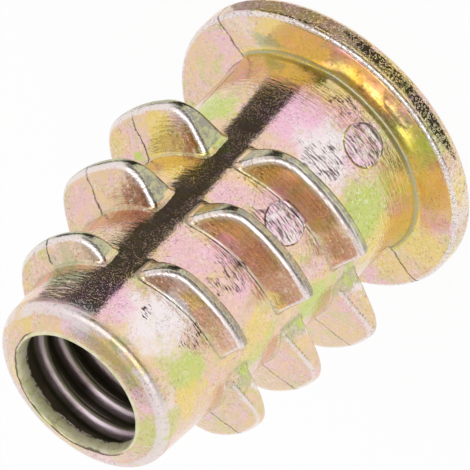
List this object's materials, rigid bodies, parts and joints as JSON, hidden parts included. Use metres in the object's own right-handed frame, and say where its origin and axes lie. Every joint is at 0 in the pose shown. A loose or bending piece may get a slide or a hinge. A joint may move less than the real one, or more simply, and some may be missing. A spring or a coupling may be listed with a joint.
{
  "type": "threaded insert",
  "caption": "Flanged threaded insert for wood, with an interrupted coarse thread outside, a machine thread inside and a hexagon socket in the flange.",
  "frame": {"origin": "centre of the flange's outer face, which is the face that the insert stands on", "axes": "+Z along the axis from the flange to the nose; the two die halves part on the plane Y = 0, and the half with the ejector marks is on -Y"},
  "size_m": [0.016, 0.016, 0.0203],
  "materials": {
    "passivated_zinc": "die-cast zinc with a yellow chromate passivation, half bright, with pink, green and gold interference colours"
  },
  "bodies": {
    "root": {"threaded_insert": "passivated_zinc"}
  },
  "joints": []
}
